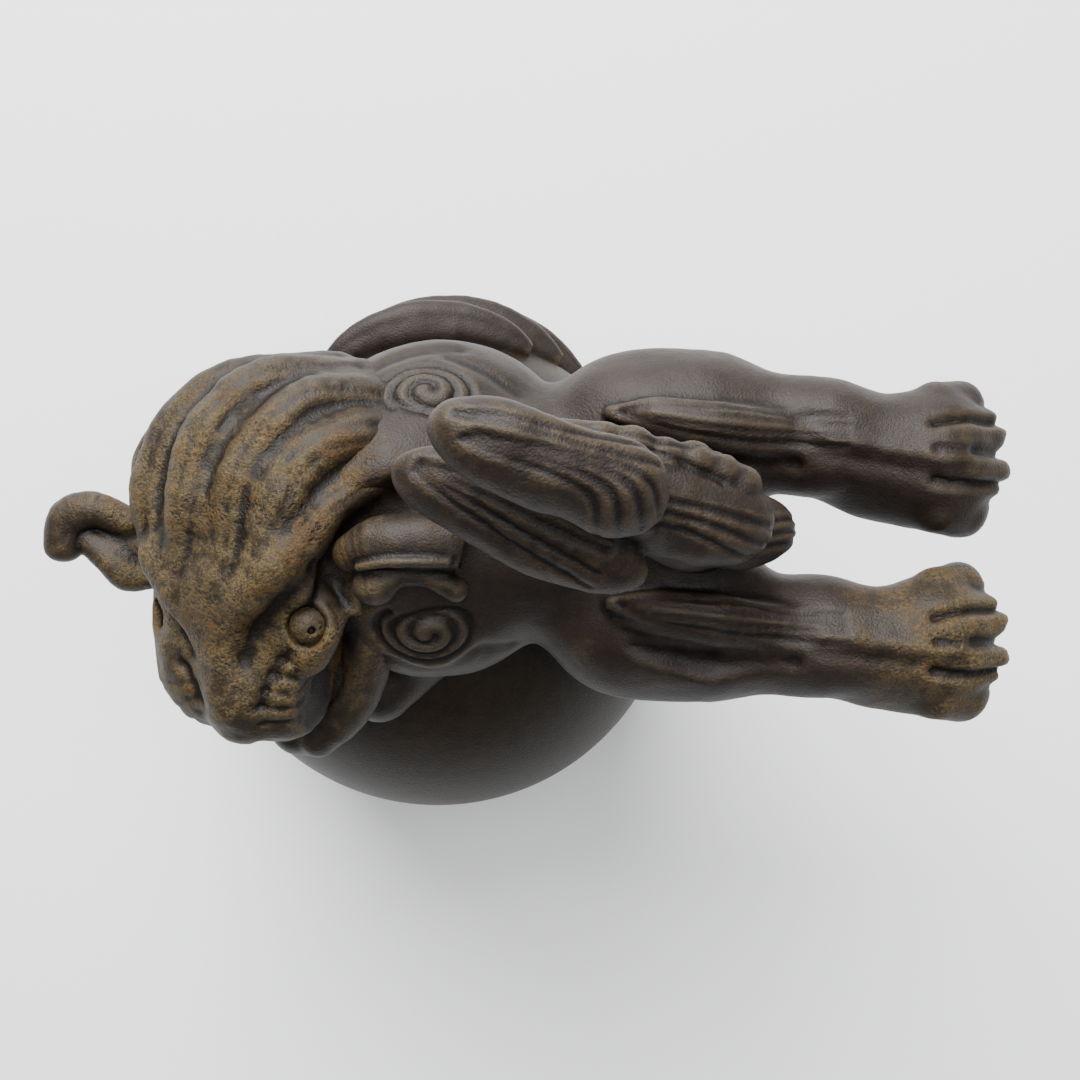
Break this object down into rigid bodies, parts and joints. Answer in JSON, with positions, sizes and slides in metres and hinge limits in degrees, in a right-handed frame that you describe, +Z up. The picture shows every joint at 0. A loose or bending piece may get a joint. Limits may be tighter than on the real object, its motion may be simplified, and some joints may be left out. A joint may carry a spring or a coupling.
{
  "type": "foo dog statue",
  "caption": "Small fired-clay guardian lion tumbling over a ball, with its hind legs kicked out behind and a flame-lobed tail over its back.",
  "frame": {"origin": "middle of the flat foot under the ball", "axes": "+Z up from the foot; the body lies along X with the hind paws towards +X and the head towards -X; the face looks towards -Y"},
  "size_m": [0.1604, 0.1062, 0.1525],
  "materials": {
    "body_clay": "satin unglazed stoneware",
    "ash_clay": "stoneware freckled with yellow wood ash",
    "ball_clay": "satin unglazed stoneware",
    "mouth_clay": "matt unglazed stoneware"
  },
  "bodies": {
    "root": {"ball_lower_bowl": "ball_clay", "ball_upper_bowl": "ball_clay", "torso": "body_clay", "head": "ash_clay", "left_eye": "ash_clay", "left_brow": "ash_clay", "left_whisker_pad": "ash_clay", "right_eye": "ash_clay", "right_brow": "ash_clay", "right_whisker_pad": "ash_clay", "nose": "ash_clay", "lower_jaw": "ash_clay", "tongue": "mouth_clay", "left_ear": "ash_clay", "right_ear": "ash_clay", "neck_mane": "ash_clay", "mane_lock_1": "ash_clay", "mane_lock_2": "ash_clay", "mane_lock_3": "ash_clay", "mane_lock_4": "ash_clay", "mane_lock_5": "ash_clay", "mane_lock_6": "ash_clay", "left_shoulder": "body_clay", "left_foreleg": "body_clay", "left_forepaw": "body_clay", "left_hind_leg": "body_clay", "left_hind_paw": "ash_clay", "left_hock_tuft": "body_clay", "right_shoulder": "body_clay", "right_foreleg": "body_clay", "right_forepaw": "body_clay", "right_hind_leg": "body_clay", "right_hind_paw": "body_clay", "right_hock_tuft": "body_clay", "tail_stem": "body_clay", "tail_lock_top": "body_clay", "tail_lock_left": "body_clay", "tail_lock_right": "body_clay", "tail_lock_middle": "body_clay", "tail_lock_low": "body_clay", "ribbon_fold_1": "body_clay", "ribbon_fold_2": "body_clay", "ribbon_fold_3": "body_clay"}
  },
  "joints": []
}
